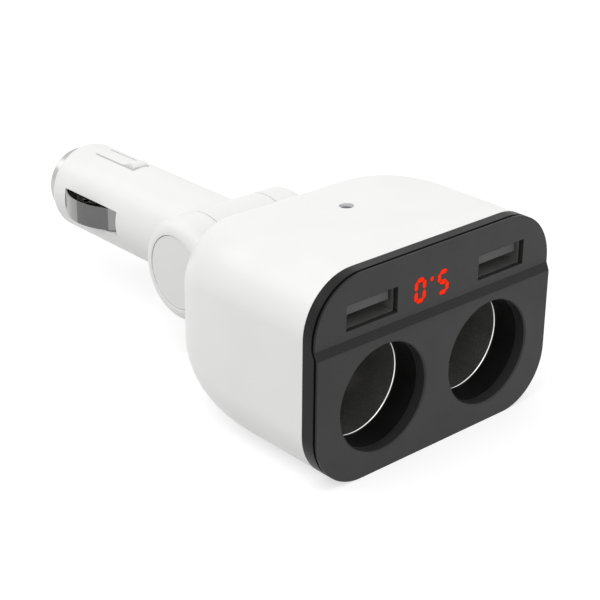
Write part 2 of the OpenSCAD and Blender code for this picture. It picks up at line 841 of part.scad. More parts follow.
module indicator_lens() {
    color("#8d9294") translate([0, lamp_y, board_top + lamp_h])
        cylinder(r = indicator_r - slide_fit, h = top_z - indicator_depth - board_top - lamp_h);
}

module board_screws() {
    color(metal) for (side = [-1, 1], place = post_places)
        translate([side * post_x, place, board_top]) {
            translate([0, 0, -board_screw_l])
                cylinder(r = board_screw_r, h = board_screw_l + board_head_t / 2);
            cylinder(r = board_head_r, h = board_head_t);
        }
}

module hinge_cap(side) {
    color("#e6e6e4") translate([0, hinge_y, 0]) scale([side, 1, 1]) difference() {
        rod_x(cap_r, cap_in, cap_in + cap_t);
        rod_x(cap_r - cap_seat, cap_in - cut, cap_in + cap_hollow);
    }
}

module hinge_screw() {
    color(metal) translate([0, hinge_y, 0]) difference() {
        union() {
            rod_x(axle_r, -head_seat - washer_t, head_seat + nut_t);
            rod_x(head_r, -head_seat - washer_t - head_t, -head_seat - washer_t);
        }
        for (turn = [0, 90]) rotate([turn, 0, 0])
            translate([-head_seat - washer_t - head_t - cut, -driver_w / 2, -driver_l / 2])
                cube([driver_d + cut, driver_w, driver_l]);
    }
}

module spring_washer() {
    color(metal) translate([0, hinge_y, 0]) difference() {
        rod_x(head_r - fit, -head_seat - washer_t, -head_seat);
        rod_x(axle_r + fit, -head_seat - washer_t - cut, -head_seat + cut);
        translate([-head_seat - washer_t - cut, 0, -washer_cut / 2])
            cube([washer_t + 2 * cut, head_r + cut, washer_cut]);
    }
}

module hinge_nut() {
    color(metal) translate([head_seat, hinge_y, 0]) rotate([0, 90, 0]) difference() {
        cylinder(r = nut_r, h = nut_t, $fn = 6);
        translate([0, 0, -cut]) cylinder(r = axle_r + press_fit, h = nut_t + 2 * cut);
    }
}

// Washers in shallow seats at both sides of the middle knuckle
module friction_washers() {
    color(brass) translate([0, hinge_y, 0]) for (side = [-1, 1])
        scale([side, 1, 1]) difference() {
            rod_x(friction_r, ear_in - slide_fit - friction_t, ear_in - slide_fit);
            rod_x(axle_r + fit, ear_in - 2 * friction_t - cut, ear_in + cut);
        }
}

// Outside of the plug: knuckle, neck and round body
module plug_body() {
    translate([0, hinge_y, 0]) rod_x(barrel_r, -knuckle_half, knuckle_half);
    intersection() {
        rod_y(plug_r, hinge_y, cut);
        translate([-neck_half, hinge_y, -plug_r]) cube([2 * neck_half, -hinge_y + cut, 2 * plug_r]);
    }
    turned_y() {
        square([plug_r, plug_l - plug_round]);
        square([plug_r - plug_round, plug_l]);
        translate([plug_r - plug_round, plug_l - plug_round]) circle(r = plug_round);
    }
}

// The springy tongue's ramp: it rises to a rounded free end, which grips the car's socket
module latch_shape() {
    y0 = latch_y + latch_slot;
    translate([-latch_w / 2, 0, 0]) rotate([90, 0, 90]) linear_extrude(latch_w) {
        translate([y0 + latch_round, latch_top - latch_round]) circle(r = latch_round);
        translate([y0, latch_under]) square([latch_round, latch_top - latch_round - latch_under]);
        polygon([[y0 + latch_round, latch_under], [y0 + latch_round, latch_top],
            [y0 + latch_ramp, ramp_low], [y0 + latch_ramp, latch_under]]);
    }
}

module plug_shell() {
    slot_w = latch_w + 2 * latch_slot;
    color(white) difference() {
        union() {
            difference() {
                plug_body();
                rod_y(bore, bulkhead, plug_l + cut);
                for (side = [-1, 1])
                    translate([0, slot_y, -slot_h / 2]) scale([side, 1, 1])
                        cube([plug_r + cut, slot_l, slot_h]);
                translate([-slot_w / 2, latch_y, 0]) difference() {
                    cube([slot_w, latch_l, plug_r + cut]);
                    translate([latch_slot, latch_slot, -cut]) cube([latch_w, latch_l, plug_r + 3 * cut]);
                }
            }
            latch_shape();
        }
        translate([0, hinge_y, 0]) {
            rod_x(bore_r, -barrel_half, barrel_half);
            for (side = [-1, 1])
                scale([side, 1, 1]) rod_x(friction_r + fit, ear_in - 2 * slide_fit - friction_t, ear_in);
        }
        for (z = [-wire_hole_z, wire_hole_z])
            translate([0, 0, z]) rod_y(wire_hole_r, hinge_y - barrel_r - cut, bulkhead + cut);
    }
}

module nose_ring() {
    color(metal) difference() {
        union() {
            rod_y(bore - slide_fit, plug_l - thread_l, plug_l);
            rod_y(nose_r, plug_l, nose_front - nose_edge_l);
            rod_y(nose_r, nose_front - nose_edge_l, nose_front, nose_r - nose_edge_d);
        }
        rod_y(pin_head_r + fit, plug_l - thread_l - cut, nose_front - nose_wall);
        rod_y(pin_r + slide_fit, nose_front - nose_wall - cut, nose_front + cut);
    }
}

module centre_pin() {
    dome_y = pin_tip - dome_r;
    color(metal) {
        rod_y(pin_head_r, fuse_front, pin_stop);
        rod_y(pin_r, pin_stop - cut, dome_y + sqrt(dome_r * dome_r - pin_r * pin_r));
        intersection() {
            translate([0, dome_y, 0]) sphere(r = dome_r);
            rod_y(pin_r, dome_y, pin_tip + cut);
        }
    }
}

module fuse_glass() {
    color([0.8, 0.85, 0.85, 0.5]) difference() {
        rod_y(fuse_r, fuse_back + fuse_cap_t + fit, fuse_front - fuse_cap_t - fit);
        rod_y(fuse_r - glass_wall, fuse_back + cut, fuse_front - cut);
    }
}

module fuse_caps() {
    inner_r = fuse_r + press_fit;
    color(metal) difference() {
        union() {
            rod_y(inner_r + fuse_cap_t, fuse_back, fuse_back + fuse_cap_l);
            rod_y(inner_r + fuse_cap_t, fuse_front - fuse_cap_l, fuse_front);
        }
        rod_y(inner_r, fuse_back + fuse_cap_t, fuse_front - fuse_cap_t);
    }
}

// Coil spring: a round wire along a helix, as one skin
wire_sides = 8;
turn_steps = 16;
function coil_point(t) = let (a = 360 * spring_turns * t)
    [spring_r * cos(a), seat_floor + wire_r + slide_fit + (spring_l - 2 * wire_r - 2 * slide_fit) * t,
        spring_r * sin(a)];
module plug_spring() {
    steps = ceil(turn_steps * spring_turns);
    rings = [for (i = [0:steps]) let (c = coil_point(i / steps), a = 360 * spring_turns * i / steps)
        [for (j = [0:wire_sides - 1]) let (b = 360 * j / wire_sides)
            c + wire_r * [cos(b) * cos(a), sin(b), cos(b) * sin(a)]]];
    sides = [for (i = [0:steps - 1], j = [0:wire_sides - 1])
        let (a = i * wire_sides + j, b = i * wire_sides + (j + 1) % wire_sides)
        each [[a, a + wire_sides, b + wire_sides], [a, b + wire_sides, b]]];
    first = [for (j = [0:wire_sides - 1]) j];
    last = [for (j = [wire_sides - 1:-1:0]) steps * wire_sides + j];
    color(metal) polyhedron(points = [for (ring = rings) each ring], faces = concat(sides, [first, last]),
        convexity = 8);
}

module spring_seat() {
    inner_r = spring_r + wire_r + seat_gap;
    seat_r = inner_r + seat_wall;
    color(brass) {
        rod_y(seat_r, bulkhead, seat_floor);
        difference() {
            rod_y(seat_r, seat_floor - slide_fit, seat_floor + seat_rim);
            rod_y(inner_r, seat_floor - cut, seat_floor + seat_rim + cut);
        }
    }
}

// Bowed strip in one side slot: it leaves its root foot in an arc and folds in again at the tip
module side_contact(side) {
    fold_x = bow_centre[0] + sqrt(pow(bow_r, 2) - pow(bow_tip - bow_centre[1], 2));
    inner_x = foot_x - contact_t;
    root_y = slot_y + bow_gap - foot_l;
    color(metal) scale([side, 1, 1]) translate([0, 0, -contact_w / 2]) linear_extrude(contact_w) {
        intersection() {
            translate(bow_centre) difference() {
                circle(r = bow_r);
                circle(r = bow_r - contact_t);
            }
            translate([inner_x, slot_y]) square([bow_x - inner_x + cut, bow_tip - slot_y]);
        }
        translate([inner_x, bow_tip - contact_t]) square([fold_x - inner_x, contact_t]);
        translate([inner_x, bow_tip - contact_t]) square([contact_t, contact_t + foot_l]);
        translate([inner_x, root_y]) square([contact_t, bow_root - root_y + contact_t]);
    }
}

rear_housing();
bezel_ring();
face_plate();
socket_liner(-1);  // socket_liner_left
socket_liner(1);  // socket_liner_right
socket_sleeve(-1);  // socket_sleeve_left
socket_sleeve(1);  // socket_sleeve_right
socket_contact(-1);  // socket_contact_left
socket_contact(1);  // socket_contact_right
usb_shell(-1);  // usb_shell_left
usb_shell(1);  // usb_shell_right
usb_tongue(-1);  // usb_tongue_left
usb_tongue(1);  // usb_tongue_right
usb_pins(-1);  // usb_pins_left
usb_pins(1);  // usb_pins_right
display_module();
display_segments();
main_board();
power_coil();
capacitors();
converter_chips();
indicator_led();
indicator_lens();
board_screws();
hinge_cap(-1);  // hinge_cap_left
hinge_cap(1);  // hinge_cap_right
hinge_screw();
spring_washer();
hinge_nut();
plug_shell();
friction_washers();
nose_ring();
centre_pin();
fuse_glass();
fuse_caps();
plug_spring();
spring_seat();
side_contact(-1);  // side_contact_left
side_contact(1);  // side_contact_right
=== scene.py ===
import json
import math

import bmesh
import bpy
from mathutils import Matrix, Vector

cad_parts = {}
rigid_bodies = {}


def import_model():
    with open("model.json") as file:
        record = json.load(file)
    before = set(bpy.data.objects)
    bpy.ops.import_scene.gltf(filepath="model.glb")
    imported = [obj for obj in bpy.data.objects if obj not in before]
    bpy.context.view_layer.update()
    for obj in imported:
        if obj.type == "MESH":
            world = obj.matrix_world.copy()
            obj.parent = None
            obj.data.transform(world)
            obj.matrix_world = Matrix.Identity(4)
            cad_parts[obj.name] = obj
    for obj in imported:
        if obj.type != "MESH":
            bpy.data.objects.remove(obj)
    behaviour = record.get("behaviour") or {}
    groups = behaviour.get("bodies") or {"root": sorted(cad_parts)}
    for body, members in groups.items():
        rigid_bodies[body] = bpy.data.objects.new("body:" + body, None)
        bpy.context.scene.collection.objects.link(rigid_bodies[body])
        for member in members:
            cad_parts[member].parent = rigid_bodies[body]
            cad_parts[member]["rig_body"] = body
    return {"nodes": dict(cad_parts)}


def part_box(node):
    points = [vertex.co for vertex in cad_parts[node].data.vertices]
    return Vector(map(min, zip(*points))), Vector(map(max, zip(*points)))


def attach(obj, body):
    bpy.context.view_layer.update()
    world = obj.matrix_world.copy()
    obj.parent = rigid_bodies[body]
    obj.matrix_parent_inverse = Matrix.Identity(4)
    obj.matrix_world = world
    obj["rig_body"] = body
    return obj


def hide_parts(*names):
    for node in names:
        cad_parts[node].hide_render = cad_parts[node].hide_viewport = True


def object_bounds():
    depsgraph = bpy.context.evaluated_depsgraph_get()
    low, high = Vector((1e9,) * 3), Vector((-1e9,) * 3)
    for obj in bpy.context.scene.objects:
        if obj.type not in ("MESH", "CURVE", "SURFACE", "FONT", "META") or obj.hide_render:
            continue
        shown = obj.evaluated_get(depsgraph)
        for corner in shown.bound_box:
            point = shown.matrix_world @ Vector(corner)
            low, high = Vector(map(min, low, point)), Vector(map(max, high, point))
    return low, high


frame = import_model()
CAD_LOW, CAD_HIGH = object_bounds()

bl_info = {
    "name": "Folding car charger plug",
    "version": (1, 0, 0),
    "blender": (4, 5, 0),
    "location": "View3D > Sidebar > Charger",
    "description": "Dresses the packed frame of a folding car charger plug "
                   "with two sockets, two ports and a display",
    "category": "Object",
}

MM = 0.001
NODES = frame["nodes"]
SIDES = ("left", "right")

# Meshes
WELD = 0.002 * MM  # vertices this close become one
SLIVER = 0.001 * MM  # edges and faces of the CAD mesh thinner than this go
FLAT = math.radians(0.5)  # faces that meet at less than this become one
SHARP = math.radians(35)  # edges that turn more than this are rounded or stay sharp
ROUND_STEPS = 3  # faces across a rounding
LARGE_FACES = 80  # weight of large faces in the shading, where 50 is neutral

# Places on the object
SAME_PLACE = 0.01 * MM  # places this close count as the same
EAR_REACH = 0.1 * MM  # from the outer face of the hinge's washers to the ears' edges
KNUCKLE_REACH = 0.3 * MM  # from there to the knuckle's edges
KNUCKLE_END = -1 * MM  # the knuckle lies behind this, towards the housing
SLOTS_START = 10 * MM  # slots and springy tongue lie beyond this, towards the tip
TONGUE_HALF = 2 * MM  # half of the tongue's raised part
TONGUE_LOW = 9.5 * MM  # the tongue's raised part stands higher than this
SLEEVE_WALL = 0.4 * MM  # thickness of the socket sleeves
PORT_REACH = 0.8 * MM  # from a port's shell to the edges of its opening in the panel

# Directions of the front panel's faces, by their normals
FORWARD = 0.8  # at least so far forward
SIDEWAYS = 0.5  # less than so far forward or back
SLOPE_RISE = (0.3, 0.6)  # between so far and so far up: the slope above the sockets

# Stage, in metres, watts and shares of white
FLOOR_HALF = 4
FLOOR_GAP = 0.02 * MM
FLOOR_GLOW = 0.62
SKY_LEVEL = 0.76
WHITE = (1, 1, 1, 1)
LAMPS = (
    # name, place, width and height, power
    ("key", (-0.3, -0.1, 0.55), (0.4, 0.4), 1.0),
    ("front", (-0.05, -0.7, 0.3), (0.4, 0.3), 0.4),
    ("back", (-0.3, 0.5, 0.4), (0.4, 0.3), 0.4),
)
LAMP_TARGET = Vector((0, -0.03, 0))

# Camera, solved from the round socket mouths and the straight step across the front
CAMERA_PLACE = (-0.20529, -0.26119, 0.13737)
CAMERA_RIGHT = Vector((0.7459, -0.6660, 0.0081))
CAMERA_UP = Vector((0.2732, 0.3170, 0.9082))
CAMERA_LENS = 96.58
CAMERA_CLIP = (0.01, 20)


def linear(colour):
    """Linear RGBA of an sRGB hex colour such as '#f4f4f2'."""
    parts = [int(colour[i:i + 2], 16) / 255 for i in (1, 3, 5)]
    return [c / 12.92 if c <= 0.04045 else ((c + 0.055) / 1.055) ** 2.4 for c in parts] + [1]


def length(name, description, default, low, high):
    """A length property that is given in millimetres and held in metres."""
    return bpy.props.FloatProperty(name=name, description=description, default=default * MM,
                                   min=low * MM, max=high * MM, subtype="DISTANCE", unit="LENGTH",
                                   precision=5)


def colour(name, description, default):
    """A colour property that is given as sRGB hex."""
    return bpy.props.FloatVectorProperty(name=name, description=description, default=linear(default),
                                         size=4, min=0, max=1, subtype="COLOR")


class ChargerSizes(bpy.types.PropertyGroup):
    """Sizes that the dressing uses."""
    seam_edge: length("Seam edge", "Rounding of the white tub at its seam with the ring", 0.15, 0.05, 0.3)
    knuckle_edge: length("Hinge edge", "Rounding where the hinge's knuckle and ears meet", 0.3, 0.05, 0.5)
    latch_edge: length("Tongue edge", "Rounding along the plug's springy tongue", 0.3, 0.1, 0.4)
    slot_edge: length("Slot edge", "Rounding of the plug's slots and tongue", 0.05, 0.03, 0.2)
    panel_edge: length("Panel edge", "Rounding of the front panel and the ring", 0.06, 0.04, 0.15)
    cap_edge: length("Cap edge", "Rounding of the hinge caps and of the rims round them", 0.07, 0.03, 0.08)
    metal_edge: length("Metal edge", "Rounding of turned and punched metal", 0.12, 0.05, 0.18)
    # The side contacts' ends are painted paler than their middle, as painted sheen.
    sheen_root: length("Painted sheen at root", "Side contacts' end next to the hinge, painted paler as sheen", 4.6, 0, 6)
    sheen_tip: length("Painted sheen at tip", "Side contacts' end next to the tip, painted paler as sheen", 9.2, 0, 11)
    sleeve_edge: length("Sleeve edge", "Rolled front edge of the socket sleeves", 0.3, 0.1, 0.38)
    sheet_edge: length("Sheet edge", "Rounding of the thin port shells", 0.08, 0.03, 0.12)
    grain: length("Grain", "Spacing of the eroded plastic's grain", 0.22, 0.1, 1)
    ripple: length("Ripple", "Width of the faint waves in the glossy plastic", 9, 3, 30)


class ChargerColours(bpy.types.PropertyGroup):
    """Colours of the moulded pieces."""
    shell: colour("White shell", "Semi-gloss plastic of tub and plug", "#f1f1f0")
    plate: colour("Front panel", "Eroded plastic of the face plate", "#303030")
    ring: colour("Ring", "Eroded plastic of the ring round the front", "#212121")
    liner: colour("Liners", "Plastic of the cups that insulate the sockets", "#171717")
    cap: colour("Hinge caps", "Eroded plastic of the hinge's end caps", "#ededec")
    light: colour("Lit strokes", "Glow of the display's light guides", "#ff2a00")


def sizes():
    """The sizes that are set in the panel."""
    return bpy.context.scene.charger_sizes


def colours():
    """The colours that are set in the panel."""
    return bpy.context.scene.charger_colours


# Materials


def shade(base, level):
    """A colour made darker or paler by a factor."""
    return [min(c * level, 1) for c in base[:3]] + [1]


def add_node(tree, kind, links=(), values=(), **settings):
    """Adds a node with its settings, its input values and what its inputs are linked from."""
    node = tree.nodes.new(kind)
    for key, value in settings.items():
        setattr(node, key, value)
    for key, value in values:
        node.inputs[key].default_value = value
    for key, source in links:
        tree.links.new(source, node.inputs[key])
    return node


class Finish:
    """Builds one node material: a Principled shader with patterns in millimetres of object space."""

    MIDDLE = (0.3, 0.7)  # nearly all of a noise's values lie between these

    def __init__(self, name, base, roughness, metallic=0.0, specular=0.5):
        self.material = bpy.data.materials.new(name)
        self.material.use_nodes = True
        self.tree = self.material.node_tree
        self.shader = self.tree.nodes["Principled BSDF"]
        self.base = linear(base) if isinstance(base, str) else list(base)
        self.set(("Base Color", self.base), ("Roughness", roughness), ("Metallic", metallic),
                 ("Specular IOR Level", specular))
        self.material.diffuse_color = self.base
        self.relief = None

    def set(self, *pairs):
        """Values that are the same all over the surface, on the shader's own sockets."""
        for socket, value in pairs:
            self.shader.inputs[socket].default_value = value

    def vary(self, socket, source):
        """Links a pattern to one of the shader's sockets."""
        self.tree.links.new(source, self.shader.inputs[socket])

    def node(self, kind, links=(), values=(), **settings):
        """Adds a node to this material."""
        return add_node(self.tree, kind, links, values, **settings)

    def space(self, stretch=(1, 1, 1)):
        """Object coordinates in millimetres, stretched along the axes."""
        place = self.node("ShaderNodeTexCoord")
        return self.node("ShaderNodeMapping", [("Vector", place.outputs["Object"])],
                         [("Scale", [s * MM for s in stretch])], vector_type="TEXTURE").outputs[0]

    def noise(self, size, detail=3.0, stretch=(1, 1, 1), rough=0.5):
        """Noise whose blotches are about the given size in millimetres."""
        return self.node("ShaderNodeTexNoise", [("Vector", self.space(stretch))],
                         [("Scale", 1 / size), ("Detail", detail), ("Roughness", rough)]).outputs["Fac"]

    def spread(self, value, low, high):
        """A pattern's middle values spread between two numbers."""
        return self.node("ShaderNodeMapRange", [("Value", value)],
                         [("From Min", self.MIDDLE[0]), ("From Max", self.MIDDLE[1]),
                          ("To Min", low), ("To Max", high)]).outputs[0]

    def ramp(self, value, low, high):
        """A colour between two colours, by a pattern's value."""
        node = self.node("ShaderNodeValToRGB", [("Fac", value)])
        for element, place, tone in zip(node.color_ramp.elements, self.MIDDLE, (low, high)):
            element.position, element.color = place, tone
        return node.outputs["Color"]

    def tint(self, value, low, high):
        """Base colour that varies between two levels of the finish's own colour."""
        self.vary("Base Color", self.ramp(value, shade(self.base, low), shade(self.base, high)))

    def shine(self, value, low, high):
        """Roughness that varies between two values."""
        self.vary("Roughness", self.spread(value, low, high))

    def bump(self, value, height, strength):
        """Relief of a given height in millimetres, on top of any relief before it."""
        below = [("Normal", self.relief)] if self.relief else []
        self.relief = self.node("ShaderNodeBump", [("Height", value), *below],
                                [("Distance", height * MM), ("Strength", strength)]).outputs["Normal"]
        self.vary("Normal", self.relief)


def glossy_white_abs():
    """Semi-gloss ABS: broad soft reflections that waver a little, over a very fine moulded skin."""
    f = Finish("Semi-gloss white ABS", colours().shell, 0.3, specular=0.45)
    f.tint(f.noise(14, detail=1), 0.985, 1.01)
    f.shine(f.noise(11, detail=1), 0.28, 0.33)
    f.bump(f.noise(sizes().ripple / MM, detail=0), height=0.03, strength=0.12)
    f.bump(f.noise(0.35, detail=2), height=0.002, strength=0.2)
    return f


def eroded_abs(name, base, roughness, specular, contrast=0.12, relief=0.4):
    """Spark-eroded plastic: a fine even grain that scatters the light, slightly paler on its peaks."""
    f = Finish(name, base, roughness, specular=specular)
    grain = f.noise(sizes().grain / MM, detail=4, rough=0.6)
    f.tint(grain, 1 - contrast, 1 + contrast)
    f.shine(f.noise(6, detail=4), roughness - 0.04, roughness + 0.05)
    f.bump(grain, height=0.02, strength=relief)
    return f


def moulded_black():
    """Moulded polypropylene: waxy, with faint flow marks along the pull of the mould."""
    f = Finish("Black polypropylene, also painted as gap shadow", colours().liner, 0.42, specular=0.25)
    f.tint(f.noise(5), 0.85, 1.2)
    f.shine(f.noise(0.8, stretch=(1, 14, 1)), 0.36, 0.5)
    f.bump(f.noise(0.5, detail=2, stretch=(1, 10, 1)), height=0.008, strength=0.25)
    return f


def drawn_metal(name, base, rough, line, stretch=(1, 1, 1), contrast=0.1, relief=0.25, metallic=1.0):
    """Drawn and plated metal: fine lines along the draw that smear its reflections, and cloudy plating."""
    f = Finish(name, base, sum(rough) / 2, metallic)
    f.tint(f.noise(4, detail=4), 1 - contrast, 1 + contrast)
    lines = f.noise(line, detail=4, stretch=stretch)
    f.shine(lines, *rough)
    f.bump(lines, height=0.003, strength=relief)
    return f


def spring_steel(name, base):
    """Rolled spring steel: long fine lines along the strip and a satin shine."""
    return drawn_metal(name, base, rough=(0.2, 0.26), line=0.5, stretch=(1, 16, 1), contrast=0.03)


def lit_red():
    """Lit light guide: even red-orange glow, a little uneven from the diffuser's grain."""
    f = Finish("Red light guide", "#200300", 0.5, specular=0.05)
    glow = colours().light
    f.vary("Emission Color", f.ramp(f.noise(0.5, detail=2), shade(glow, 0.9), shade(glow, 1.0)))
    f.set(("Emission Strength", 1.0))
    return f


def solder_mask():
    """Green solder mask: paler copper tracks under it and a soft resin gloss."""
    f = Finish("Green solder mask on glass-epoxy", "#2c6a3c", 0.35)
    tracks = f.node("ShaderNodeTexBrick", [("Vector", f.space())],
                    [("Scale", 0.22), ("Mortar Size", 0.06), ("Color1", linear("#2a6339")),
                     ("Color2", linear("#2f7040")), ("Mortar", linear("#4d8f4c"))], offset=0.5)
    f.vary("Base Color", tracks.outputs["Color"])
    f.bump(tracks.outputs["Fac"], height=0.03, strength=0.4)
    f.shine(f.noise(1.5), 0.28, 0.42)
    return f


def wound_copper():
    """Enamelled copper wire in close turns: warm bands of 0.6 mm wire, paler on their crowns as painted
    highlight and darker between them as painted shade.
    """
    f = Finish("Enamelled copper winding", "#8a4a22", 0.3, metallic=0.8)
    turns = f.node("ShaderNodeTexWave", [("Vector", f.space())], [("Scale", 0.52), ("Distortion", 0.6)],
                   wave_type="BANDS", bands_direction="Z").outputs["Fac"]
    # The tint follows the turns: painted highlight on the crowns, painted shade in the grooves.
    f.tint(turns, 0.5, 1.4)
    f.bump(turns, height=0.12, strength=0.8)
    return f


def shrink_sleeve():
    """Shrink sleeve of a capacitor: glossy film with faint wrinkles."""
    f = Finish("Dark blue shrink sleeve", "#1c2740", 0.28)
    f.tint(f.noise(2), 0.85, 1.2)
    f.bump(f.noise(1.2, detail=2, stretch=(1, 1, 6)), height=0.03, strength=0.4)
    return f


def smoked_guide():
    """Smoked polycarbonate light guide: dim grey window, slightly hazy from its moulded face."""
    f = Finish("Smoked polycarbonate", "#5d6164", 0.35, specular=0.4)
    f.tint(f.noise(0.6), 0.85, 1.15)
    f.bump(f.noise(0.3, detail=2), height=0.006, strength=0.3)
    return f


def clear_glass():
    """Drawn glass tube: clear, with faint lines along the draw."""
    f = Finish("Soda-lime glass", "#f4fbfa", 0.03)
    f.set(("Transmission Weight", 0.95), ("IOR", 1.5))
    f.bump(f.noise(0.6, detail=2, stretch=(1, 20, 1)), height=0.003, strength=0.2)
    return f


MAKERS = {
    "shell": glossy_white_abs,
    "plate": lambda: eroded_abs("Dark grey eroded ABS", colours().plate, roughness=0.44, specular=0.3),
    "ring": lambda: eroded_abs("Black eroded ABS", colours().ring, roughness=0.36, specular=0.12),
    # The sloped band above the sockets is painted darker than the panel, as painted shade.
    "slope": lambda: eroded_abs("Eroded black ABS with painted shade", "#272727", roughness=0.4, specular=0.15),
    "cap": lambda: eroded_abs("Pale grey eroded ABS", colours().cap, roughness=0.45, specular=0.4,
                              contrast=0.02, relief=0.15),
    "liner": moulded_black,
    "port": lambda: eroded_abs("Dark glass-filled nylon", "#5c5c5c", roughness=0.5, specular=0.3),
    "pale": lambda: eroded_abs("Milky diffuser polycarbonate", "#dcdcd8", roughness=0.4, specular=0.5),
    "sleeve": lambda: drawn_metal("Matt nickel-plated steel", "#c9c9c6", rough=(0.19, 0.24), line=0.6,
                                  stretch=(1, 12, 1), contrast=0.05, relief=0.02, metallic=0.85),
    # Polished rolled edge of the sleeves, painted paler than the metal as a painted highlight.
    "rim": lambda: drawn_metal("Polished nickel edge with painted highlight", "#fbfbf9", rough=(0.04, 0.08), line=0.8,
                               contrast=0.02, relief=0.05),
    "contact": lambda: drawn_metal("Tin-plated brass", "#a8a49a", rough=(0.3, 0.4), line=0.6,
                                   contrast=0.06, relief=0.1),
    "tin": lambda: drawn_metal("Tinned steel sheet", "#adadab", rough=(0.5, 0.6), line=0.5,
                               stretch=(1, 8, 1)),
    "nickel": lambda: drawn_metal("Nickel-plated turned brass", "#bebdbb", rough=(0.18, 0.26), line=0.8,
                                  contrast=0.03, relief=0.08),
    "strip": lambda: spring_steel("Spring steel strip", "#686868"),
    # Paler spring steel for the contacts' ends: painted sheen.
    "painted_sheen": lambda: spring_steel("Spring steel with painted sheen", "#8e8e8d"),
    "brass": lambda: drawn_metal("Turned brass", "#c09b52", rough=(0.2, 0.34), line=0.6),
    "light": lit_red,
    "board": solder_mask,
    "coil": wound_copper,
    "capacitor": shrink_sleeve,
    "guide": smoked_guide,
    "glass": clear_glass,
}
MADE = {}


def finish(key):
    """The material of a key, made the first time that it is asked for."""
    if key not in MADE:
        MADE[key] = MAKERS[key]().material
    return MADE[key]


# Pieces


def paint(key, *objects):
    """Gives objects one material."""
    for obj in objects:
        obj.data.materials.clear()
        obj.data.materials.append(finish(key))


def paint_nodes(key, *names):
    """Gives CAD nodes that keep their own shape their finish."""
    paint(key, *(NODES[name] for name in names))


def repaint(piece, key, test):
    """Gives another finish to those faces of a piece whose middle and normal pass a test."""
    piece.data.materials.append(finish(key))
    for face in piece.data.polygons:
        if test(face.center, face.normal):
            face.material_index = len(piece.data.materials) - 1


def outer_edges(bm, test):
    """The sharp outer edges whose middle passes a test."""
    bm.normal_update()
    return [e for e in bm.edges if len(e.link_faces) == 2 and e.is_convex
            and e.calc_face_angle(0) > SHARP and test((e.verts[0].co + e.verts[1].co) / 2)]


def eased(node, key, slot, *cuts):
    """A copy of a CAD node that stands for it: smooth shaded, its outer edges rounded.

    Each cut is a radius and a test, which takes the middle of an edge and says whether it is rounded.
    """
    bm = bmesh.new()
    bm.from_mesh(NODES[node].data)
    bmesh.ops.remove_doubles(bm, verts=bm.verts, dist=WELD)
    bmesh.ops.dissolve_degenerate(bm, edges=bm.edges, dist=SLIVER)
    bmesh.ops.dissolve_limit(bm, angle_limit=FLAT, use_dissolve_boundaries=False,
                             verts=bm.verts, edges=bm.edges)
    for radius, test in cuts:
        edges = outer_edges(bm, test)
        if not edges:
            raise RuntimeError(f"{node} has no edge to round")
        bmesh.ops.bevel(bm, geom=edges, offset=radius, offset_type="OFFSET", segments=ROUND_STEPS,
                        profile=0.5, affect="EDGES", clamp_overlap=True, material=-1, loop_slide=True)
    # Where a rounding has no room, it leaves vertices on one spot.
    bmesh.ops.remove_doubles(bm, verts=bm.verts, dist=WELD)
    bmesh.ops.dissolve_degenerate(bm, edges=bm.edges, dist=WELD)
    bmesh.ops.triangulate(bm, faces=[f for f in bm.faces if len(f.verts) > 4])
    bm.normal_update()
    for face in bm.faces:
        face.smooth = True
    for edge in bm.edges:
        edge.smooth = len(edge.link_faces) == 2 and edge.calc_face_angle(0) < SHARP
    mesh = bpy.data.meshes.new(f"{node}_eased")
    bm.to_mesh(mesh)
    bm.free()
    piece = bpy.data.objects.new(f"{node}_eased", mesh)
    bpy.context.scene.collection.objects.link(piece)
    weigh = piece.modifiers.new("Weighted normals", "WEIGHTED_NORMAL")
    weigh.keep_sharp = True
    weigh.weight = LARGE_FACES
    paint(key, piece)
    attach(piece, NODES[node]["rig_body"])
    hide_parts(node)
    return piece


def everywhere(middle):
    """The test that every edge passes."""
    return True


def at(value, target, within=SAME_PLACE):
    """Whether two places are the same, or lie within a distance."""
    return abs(value - target) < within


def by_an_opening():
    """A test for places on the front panel that lie at its socket mouths or port openings."""
    mouths = [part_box(f"socket_liner_{side}") for side in SIDES]
    rounds = [((low + high) / 2, (high.x - low.x) / 2) for low, high in mouths]
    ports = [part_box(f"usb_shell_{side}") for side in SIDES]

    def test(m):
        in_mouth = any(math.hypot(m.x - middle.x, m.z - middle.z) < radius for middle, radius in rounds)
        return in_mouth or any(low.x - PORT_REACH < m.x < high.x + PORT_REACH
                               and low.z - PORT_REACH < m.z < high.z + PORT_REACH
                               for low, high in ports)
    return test


class CHARGER_OT_housing(bpy.types.Operator):
    """White tub, dark ring and front panel"""
    bl_idname = "charger.housing"
    bl_label = "Dress the housing"

    def execute(self, context):
        s = sizes()
        low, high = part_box("rear_housing")
        ears_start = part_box("hinge_nut")[0].y
        ear_end = max(abs(v.co.x) for v in NODES["rear_housing"].data.vertices if v.co.y > ears_start)
        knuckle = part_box("friction_washers")[1].x
        eased("rear_housing", "shell", "white_shell",
              (s.seam_edge, lambda m: at(m.y, low.y) or at(m.z, high.z)),
              (s.knuckle_edge, lambda m: at(abs(m.x), knuckle, EAR_REACH)),
              (s.cap_edge, lambda m: at(abs(m.x), ear_end)))
        eased("bezel_ring", "ring", "ring_plastic", (s.panel_edge, everywhere))
        at_opening = by_an_opening()
        plate = eased("face_plate", "plate", "panel_plastic", (s.panel_edge, at_opening))
        # The faces of the sloped band above the sockets get a darker finish, as painted shade.
        repaint(plate, "slope", lambda m, n: n.y < -FORWARD and SLOPE_RISE[0] < n.z < SLOPE_RISE[1])
        repaint(plate, "ring", lambda m, n: abs(n.y) < SIDEWAYS and not at_opening(m))
        return {"FINISHED"}


